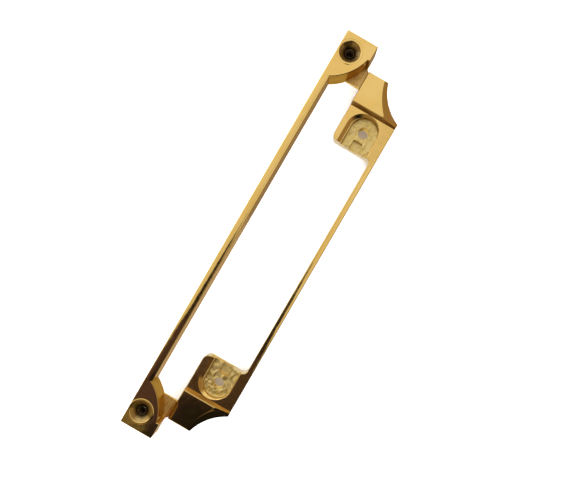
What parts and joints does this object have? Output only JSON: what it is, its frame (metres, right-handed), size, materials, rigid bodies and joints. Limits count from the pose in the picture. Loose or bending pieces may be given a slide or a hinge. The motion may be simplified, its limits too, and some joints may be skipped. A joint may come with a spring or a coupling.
{
  "type": "mortice lock rebate frame",
  "caption": "Long stepped brass frame with a countersunk screw head at each end of a proud rail and a recessed lock seat at each end of a slim rail.",
  "frame": {"origin": "middle of the base, on the back faces of the two lock seats and step blocks, under the centre of the bounding box", "axes": "+Y along the long rails, +X across the door edge from the proud rail to the slim rail, +Z out of the door edge"},
  "size_m": [0.0436, 0.2166, 0.028],
  "materials": {
    "polished_brass": "mirror polished by hand, edges slightly softened",
    "satin_brass": "polished rims, with filed or rough as-cast floors"
  },
  "bodies": {
    "root": {"proud_rail": "polished_brass", "upper_head": "polished_brass", "lower_head": "polished_brass", "upper_web": "satin_brass", "lower_web": "satin_brass", "upper_step_block": "polished_brass", "lower_step_block": "polished_brass", "upper_lock_seat": "satin_brass", "lower_lock_seat": "satin_brass", "slim_rail": "polished_brass"}
  },
  "joints": []
}
